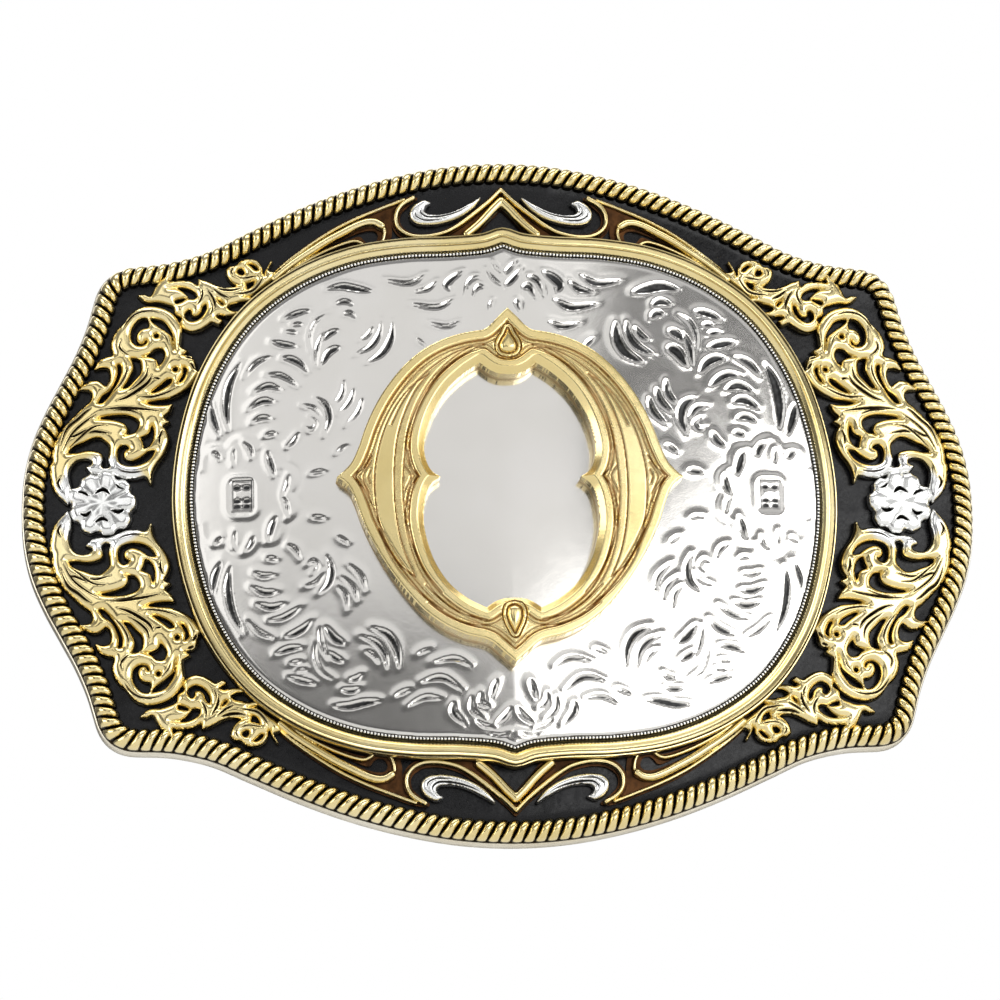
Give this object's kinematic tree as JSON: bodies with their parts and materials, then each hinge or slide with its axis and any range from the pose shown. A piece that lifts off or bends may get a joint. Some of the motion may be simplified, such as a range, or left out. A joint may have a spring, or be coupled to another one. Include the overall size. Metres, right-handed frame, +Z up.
{
  "type": "western belt buckle",
  "caption": "Bent gold and silver dress buckle with a rope border, black enamel field, scrolls, an engraved oval panel, a cusped ring, a swinging belt loop and a hook.",
  "frame": {"origin": "middle of the flat face of the blank plaque on the back", "axes": "+X to the right of a person facing the buckle, +Z up as worn, +Y towards the wearer, so the face looks towards -Y"},
  "size_m": [0.096, 0.0198, 0.0698],
  "materials": {
    "gold": "polished gold plate with dark antiquing in the grooves",
    "aged_gold": "satin gold plate",
    "silver": "polished silver plate",
    "engraved_silver": "satin silver plate with bright-cut engraving",
    "nickel": "satin nickel",
    "black_enamel": "glossy black enamel"
  },
  "bodies": {
    "buckle": {"base_plate": "aged_gold", "rope_edge": "gold", "enamel_field": "black_enamel", "oval_panel": "engraved_silver", "milgrain_wire": "silver", "oval_bezel": "gold", "cusped_ring": "gold", "scroll_upper_right": "gold", "scroll_upper_left": "gold", "scroll_lower_right": "gold", "scroll_lower_left": "gold", "sprig_upper_right": "gold", "sprig_upper_left": "gold", "sprig_lower_right": "gold", "sprig_lower_left": "gold", "ribbon_upper_right": "gold", "ribbon_upper_left": "gold", "ribbon_lower_right": "gold", "ribbon_lower_left": "gold", "comma_leaf_upper_right": "silver", "comma_leaf_upper_left": "silver", "comma_leaf_lower_right": "silver", "comma_leaf_lower_left": "silver", "peak_top": "gold", "peak_bottom": "gold", "flower_right": "silver", "flower_left": "silver", "back_plaque": "nickel", "hook_pad": "nickel", "hook_post": "nickel", "loop_lug_upper": "nickel", "loop_lug_lower": "nickel"},
    "belt_loop": {"belt_loop": "nickel"}
  },
  "joints": [
    {"name": "loop_swing", "type": "hinge", "parent": "buckle", "child": "belt_loop", "pos_m": [0.017, 0.0045, 0], "axis": [0, 0, 1], "range_deg": [-2, 185]}
  ]
}
